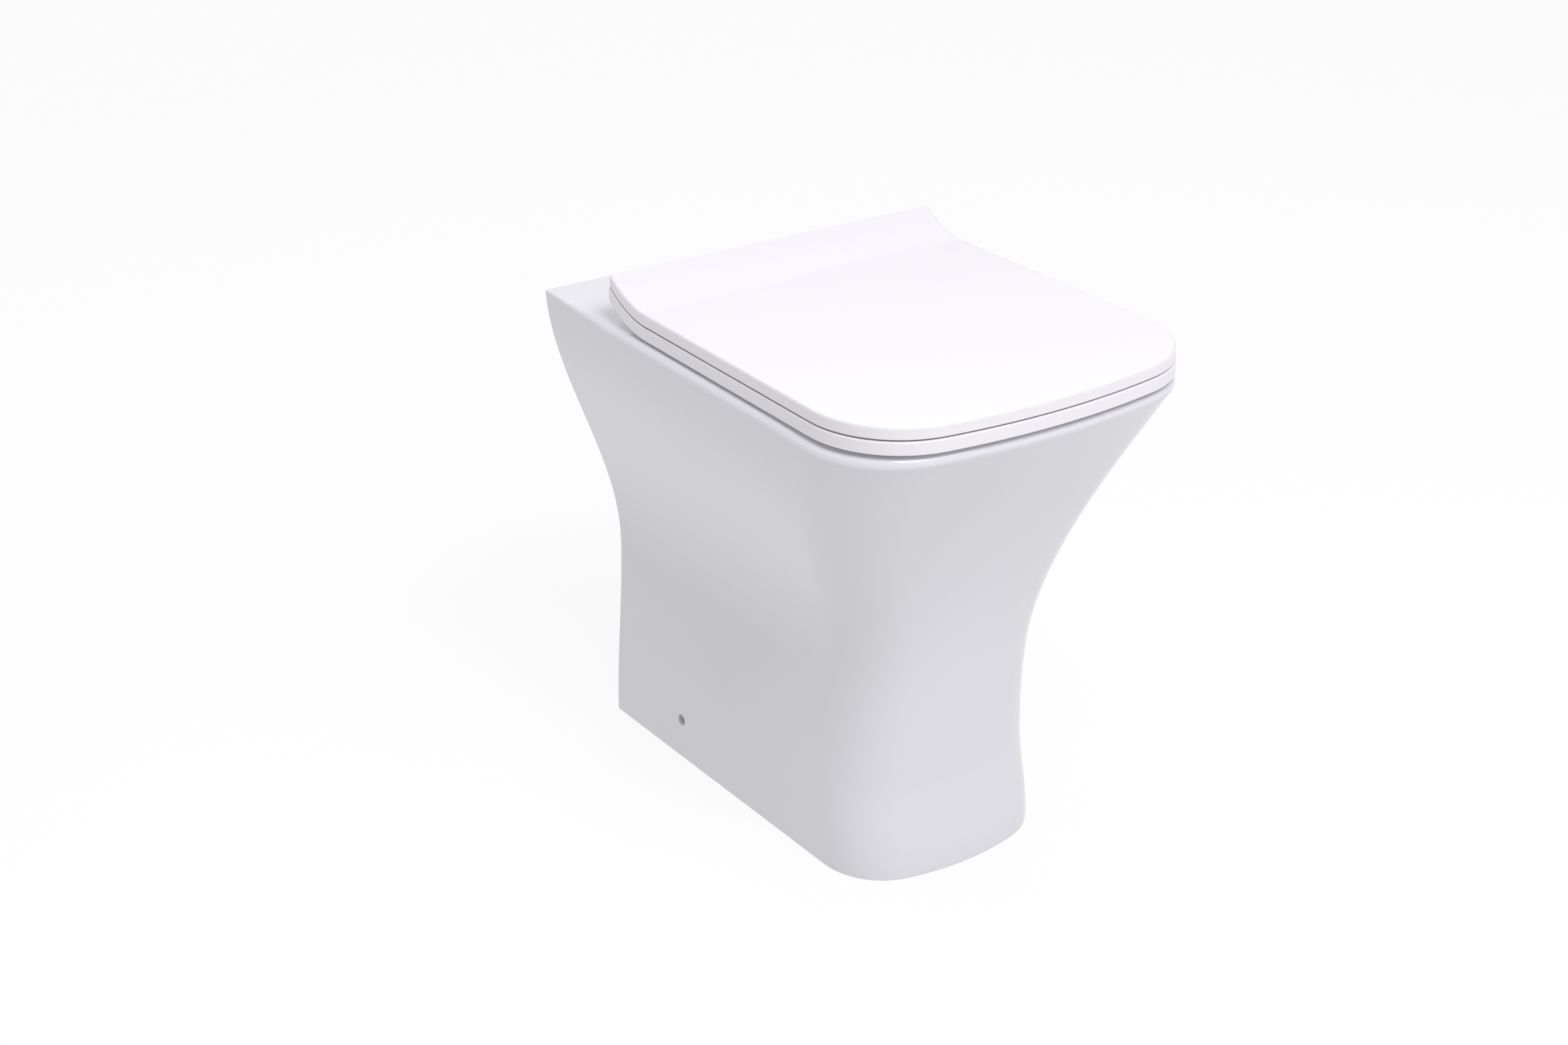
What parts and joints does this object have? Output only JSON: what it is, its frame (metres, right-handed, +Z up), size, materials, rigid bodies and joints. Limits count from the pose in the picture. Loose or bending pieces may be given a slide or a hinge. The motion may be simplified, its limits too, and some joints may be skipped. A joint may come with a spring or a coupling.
{
  "type": "back to wall toilet",
  "caption": "White back to wall toilet: flared china pan with rear deck, rimless bowl and trapway, slim soft-close seat and lid that curl up over deck hinges.",
  "frame": {"origin": "on the floor, below the middle of the object's bounding box", "axes": "+Z up, +Y towards the wall, +X to the right of someone who faces the toilet"},
  "size_m": [0.358, 0.5, 0.4987],
  "materials": {
    "white_china": "glossy white vitreous glaze",
    "seat_plastic": "glossy white thermoset",
    "hinge_plastic": "satin white moulding",
    "hinge_chrome": "polished plate",
    "screw_steel": "plain stainless",
    "buffer_rubber": "matt pale rubber",
    "bracket_plastic": "matt nylon moulding",
    "damper_plastic": "dark filled nylon"
  },
  "bodies": {
    "pan": {"pan": "white_china", "floor_bracket_left": "bracket_plastic", "floor_bracket_right": "bracket_plastic", "side_sleeve_left": "bracket_plastic", "side_sleeve_right": "bracket_plastic", "side_screw_left": "screw_steel", "side_screw_right": "screw_steel", "hinge_gaskets": "buffer_rubber", "hinge_base_left": "hinge_chrome", "hinge_base_right": "hinge_chrome", "hinge_block_left": "hinge_plastic", "hinge_block_right": "hinge_plastic", "hinge_stud_left": "screw_steel", "hinge_stud_right": "screw_steel", "stud_bushes": "buffer_rubber", "stud_washers": "screw_steel", "wing_nuts": "bracket_plastic", "lid_damper_housing": "damper_plastic", "seat_damper_housing": "damper_plastic"},
    "seat": {"seat": "seat_plastic", "seat_buffers": "buffer_rubber", "seat_damper_rotor": "damper_plastic", "seat_hinge_pin": "screw_steel"},
    "lid": {"lid": "seat_plastic", "lid_buffers": "buffer_rubber", "lid_damper_rotor": "damper_plastic", "lid_hinge_pin": "screw_steel"}
  },
  "joints": [
    {"name": "lid_hinge", "type": "hinge", "parent": "pan", "child": "lid", "pos_m": [0, 0.14, 0.4735], "axis": [-1, 0, 0], "range_deg": [0, 100]},
    {"name": "seat_hinge", "type": "hinge", "parent": "pan", "child": "seat", "pos_m": [0, 0.14, 0.4735], "axis": [-1, 0, 0], "range_deg": [0, 97]}
  ],
  "couplings": [
    {"joint": "seat_hinge", "follows": "lid_hinge", "ratio": 0.97}
  ]
}
